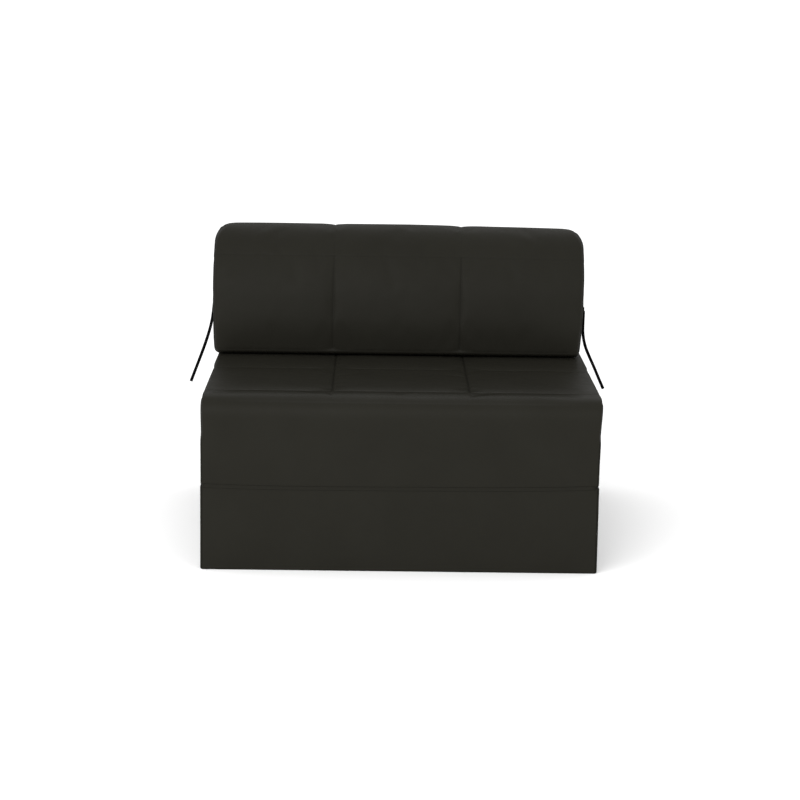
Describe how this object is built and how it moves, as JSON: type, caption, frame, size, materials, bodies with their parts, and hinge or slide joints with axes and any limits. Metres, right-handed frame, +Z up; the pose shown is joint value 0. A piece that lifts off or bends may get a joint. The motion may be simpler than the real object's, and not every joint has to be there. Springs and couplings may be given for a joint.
{
  "type": "futon sofa bed",
  "caption": "Armless faux-leather futon chair: stacked foam blocks on a fabric hinge, with a loose bolster back and side ties, which unfold into a single floor bed.",
  "frame": {"origin": "on the floor, under the middle of the closed sofa", "axes": "+X across the sofa, to the right of someone facing its front; +Y from its front to its rear; +Z up"},
  "size_m": [1.0506, 0.95, 0.7202],
  "materials": {
    "faux_leather": "satin",
    "underlay": "matte",
    "foam": "matte",
    "liner": "matte",
    "wadding": "matte",
    "zip_tape": "matte",
    "zip_coil": "satin",
    "zip_metal": "satin",
    "hinge_fabric": "matte",
    "tie_strap": "satin"
  },
  "bodies": {
    "base": {"base_foam": "foam", "base_liner": "liner", "base_sleeping_wadding": "wadding", "base_cover_left": "faux_leather", "base_cover_right": "faux_leather", "base_cover_underside": "underlay", "base_cover_rear": "faux_leather", "base_cover_front": "faux_leather", "base_cover_top": "faux_leather", "base_zip_tape": "zip_tape", "base_zip_chain": "zip_coil", "front_hinge_lower": "hinge_fabric"},
    "seat": {"seat_foam": "foam", "seat_liner": "liner", "seat_top_wadding": "wadding", "seat_sleeping_wadding": "wadding", "seat_cover_left": "faux_leather", "seat_cover_right": "faux_leather", "seat_cover_underside": "faux_leather", "seat_cover_rear": "faux_leather", "seat_cover_front": "faux_leather", "seat_cover_top": "faux_leather", "seat_zip_tape": "zip_tape", "seat_zip_chain": "zip_coil", "front_hinge_upper": "hinge_fabric", "rear_hinge_lower": "hinge_fabric"},
    "back": {"back_foam": "foam", "back_liner": "liner", "back_wadding": "wadding", "back_cover_left": "faux_leather", "back_cover_right": "faux_leather", "back_cover_underside": "faux_leather", "back_cover_rear": "faux_leather", "back_cover_front": "faux_leather", "back_cover_top": "faux_leather", "back_zip_tape": "zip_tape", "back_zip_chain": "zip_coil", "rear_hinge_upper": "hinge_fabric", "left_tie_anchor": "faux_leather", "right_tie_anchor": "faux_leather", "left_tie": "tie_strap", "right_tie": "tie_strap"},
    "base_zip_slider": {"base_zip_slider": "zip_metal"},
    "base_zip_pull": {"base_zip_pull": "zip_metal"},
    "seat_zip_slider": {"seat_zip_slider": "zip_metal"},
    "seat_zip_pull": {"seat_zip_pull": "zip_metal"},
    "back_zip_slider": {"back_zip_slider": "zip_metal"},
    "back_zip_pull": {"back_zip_pull": "zip_metal"}
  },
  "joints": [
    {"name": "seat_flip", "type": "hinge", "parent": "base", "child": "seat", "pos_m": [0, -0.476, 0.2], "axis": [1, 0, 0], "range_deg": [0, 180]},
    {"name": "back_fold", "type": "hinge", "parent": "seat", "child": "back", "pos_m": [0, 0.476, 0.4005], "axis": [1, 0, 0], "range_deg": [-180, 0]},
    {"name": "base_zip_slide", "type": "slide", "parent": "base", "child": "base_zip_slider", "axis": [0, -1, 0], "range_m": [0, 0.8]},
    {"name": "base_pull_swing", "type": "hinge", "parent": "base_zip_slider", "child": "base_zip_pull", "pos_m": [-0.4553, 0.4, 0.09975], "axis": [0, 1, 0], "range_deg": [0, 100]},
    {"name": "seat_zip_slide", "type": "slide", "parent": "seat", "child": "seat_zip_slider", "axis": [0, -1, 0], "range_m": [0, 0.8]},
    {"name": "seat_pull_swing", "type": "hinge", "parent": "seat_zip_slider", "child": "seat_zip_pull", "pos_m": [-0.4553, 0.4, 0.30025], "axis": [0, 1, 0], "range_deg": [0, 100]},
    {"name": "back_zip_slide", "type": "slide", "parent": "back", "child": "back_zip_slider", "axis": [-1, 0, 0], "range_m": [0, 0.76]},
    {"name": "back_pull_swing", "type": "hinge", "parent": "back_zip_slider", "child": "back_zip_pull", "pos_m": [0.38, 0.46482, 0.62636], "axis": [1, 0, 0], "range_deg": [0, 100]}
  ],
  "couplings": [
    {"joint": "back_fold", "follows": "seat_flip", "ratio": -1}
  ]
}
